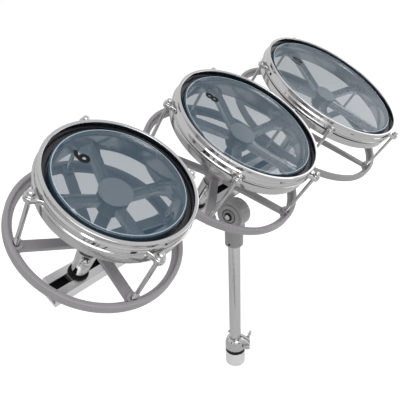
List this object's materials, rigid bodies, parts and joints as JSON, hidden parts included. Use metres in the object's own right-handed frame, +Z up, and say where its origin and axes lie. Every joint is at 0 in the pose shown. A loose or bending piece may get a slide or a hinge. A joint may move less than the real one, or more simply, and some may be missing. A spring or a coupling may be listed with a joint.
{
  "type": "rototom set",
  "caption": "Row of shell-less tunable drums on threaded posts, clamped to a slotted rail that tilts on a stand tube.",
  "frame": {"origin": "centre of the lower end face of the lower tube, where the stand carries the set", "axes": "+Z up the stand tube, +X along the rail from the smallest drum to the largest, +Y away from the player"},
  "size_m": [0.8152, 0.3047, 0.6489],
  "materials": {
    "chrome": "bright plated steel",
    "polished_casting": "plated bright casting",
    "grey_casting": "grey enamelled casting",
    "rail_metal": "satin drawn rail",
    "tube_metal": "satin plated tube",
    "steel": "plain turned steel",
    "smoke_film": "clear smoke-blue drum film",
    "black_rubber": "black bush and knob material"
  },
  "bodies": {
    "stand_base": {"lower_tube": "tube_metal", "height_clamp": "chrome"},
    "wing_bolt": {"height_wing_bolt": "chrome"},
    "bush": {"height_bush": "black_rubber"},
    "mast": {"upper_tube": "tube_metal", "stop_pin": "steel", "tilter_lower": "grey_casting", "tilter_set_screw": "steel"},
    "tilt_head": {"tilter_upper": "grey_casting", "tilter_bolt": "steel", "tilter_washer": "steel", "rail": "rail_metal", "bracket_bolt_left": "steel", "bracket_bolt_right": "steel"},
    "tilt_knob": {"tilter_knob": "black_rubber"},
    "carriage_6": {"rail_clamp_6": "chrome", "t_bolt_6": "steel", "post_6": "grey_casting"},
    "thumb_6": {"thumb_screw_6": "chrome"},
    "tuner_6": {"upper_frame_6": "polished_casting", "head_6": "smoke_film", "hub_cap_6": "polished_casting"},
    "tension_6": {"hoop_6": "chrome", "flesh_hoop_6": "black_rubber", "lower_frame_6": "grey_casting", "tension_rod_6_1": "chrome", "tension_rod_6_2": "chrome", "tension_rod_6_3": "chrome", "tension_rod_6_4": "chrome"},
    "carriage_8": {"rail_clamp_8": "chrome", "t_bolt_8": "steel", "post_8": "grey_casting"},
    "thumb_8": {"thumb_screw_8": "chrome"},
    "tuner_8": {"upper_frame_8": "polished_casting", "head_8": "smoke_film", "hub_cap_8": "polished_casting"},
    "tension_8": {"hoop_8": "chrome", "flesh_hoop_8": "black_rubber", "lower_frame_8": "grey_casting", "tension_rod_8_1": "chrome", "tension_rod_8_2": "chrome", "tension_rod_8_3": "chrome", "tension_rod_8_4": "chrome", "tension_rod_8_5": "chrome"},
    "carriage_10": {"rail_clamp_10": "chrome", "t_bolt_10": "steel", "post_10": "grey_casting"},
    "thumb_10": {"thumb_screw_10": "chrome"},
    "tuner_10": {"upper_frame_10": "polished_casting", "head_10": "smoke_film", "hub_cap_10": "polished_casting"},
    "tension_10": {"hoop_10": "chrome", "flesh_hoop_10": "black_rubber", "lower_frame_10": "grey_casting", "tension_rod_10_1": "chrome", "tension_rod_10_2": "chrome", "tension_rod_10_3": "chrome", "tension_rod_10_4": "chrome", "tension_rod_10_5": "chrome"}
  },
  "joints": [
    {"name": "wing_bolt_turn", "type": "hinge", "parent": "stand_base", "child": "wing_bolt", "pos_m": [0.0125, -0.02165, 0.0466], "axis": [0.866, 0.5, 0], "range_deg": [-60, 0]},
    {"name": "stand_swivel", "type": "hinge", "parent": "stand_base", "child": "bush", "pos_m": [0, 0, 0.034], "axis": [0, 0, 1], "range_deg": [-180, 180]},
    {"name": "height", "type": "slide", "parent": "bush", "child": "mast", "axis": [0, 0, 1], "range_m": [-0.011, 0.025]},
    {"name": "tilt", "type": "hinge", "parent": "mast", "child": "tilt_head", "pos_m": [0, 0, 0.354], "axis": [1, 0, 0], "range_deg": [-34, 36]},
    {"name": "tilt_knob_turn", "type": "hinge", "parent": "tilt_head", "child": "tilt_knob", "pos_m": [0.02, 0, 0.354], "axis": [1, 0, 0], "range_deg": [-180, 180]},
    {"name": "rail_slide_6", "type": "slide", "parent": "tilt_head", "child": "carriage_6", "axis": [1, 0, 0], "range_m": [-0.025, 0.005]},
    {"name": "thumb_turn_6", "type": "hinge", "parent": "carriage_6", "child": "thumb_6", "pos_m": [-0.37979, -0.03338, 0.44897], "axis": [-0.766, -0.5329, -0.3594], "range_deg": [-180, 180]},
    {"name": "tune_turn_6", "type": "hinge", "parent": "carriage_6", "child": "tuner_6", "pos_m": [-0.366, -0.07188, 0.52674], "axis": [0, -0.5592, 0.829], "range_deg": [-180, 180]},
    {"name": "tune_travel_6", "type": "slide", "parent": "tuner_6", "child": "tension_6", "axis": [0, -0.5592, 0.829], "range_m": [-0.00075, 0.00075]},
    {"name": "rail_slide_8", "type": "slide", "parent": "tilt_head", "child": "carriage_8", "axis": [1, 0, 0], "range_m": [-0.006, 0.002]},
    {"name": "thumb_turn_8", "type": "hinge", "parent": "carriage_8", "child": "thumb_8", "pos_m": [-0.12279, -0.03338, 0.44897], "axis": [-0.766, -0.5329, -0.3594], "range_deg": [-180, 180]},
    {"name": "tune_turn_8", "type": "hinge", "parent": "carriage_8", "child": "tuner_8", "pos_m": [-0.109, -0.07188, 0.52674], "axis": [0, -0.5592, 0.829], "range_deg": [-180, 180]},
    {"name": "tune_travel_8", "type": "slide", "parent": "tuner_8", "child": "tension_8", "axis": [0, -0.5592, 0.829], "range_m": [-0.00075, 0.00075]},
    {"name": "rail_slide_10", "type": "slide", "parent": "tilt_head", "child": "carriage_10", "axis": [1, 0, 0], "range_m": [0, 0.025]},
    {"name": "thumb_turn_10", "type": "hinge", "parent": "carriage_10", "child": "thumb_10", "pos_m": [0.17321, -0.03338, 0.44897], "axis": [-0.766, -0.5329, -0.3594], "range_deg": [-180, 180]},
    {"name": "tune_turn_10", "type": "hinge", "parent": "carriage_10", "child": "tuner_10", "pos_m": [0.187, -0.07188, 0.52674], "axis": [0, -0.5592, 0.829], "range_deg": [-180, 180]},
    {"name": "tune_travel_10", "type": "slide", "parent": "tuner_10", "child": "tension_10", "axis": [0, -0.5592, 0.829], "range_m": [-0.00075, 0.00075]}
  ],
  "couplings": [
    {"joint": "tune_travel_6", "follows": "tune_turn_6", "m_per_rad": 0.00023873},
    {"joint": "tune_travel_8", "follows": "tune_turn_8", "m_per_rad": 0.00023873},
    {"joint": "tune_travel_10", "follows": "tune_turn_10", "m_per_rad": 0.00023873}
  ]
}
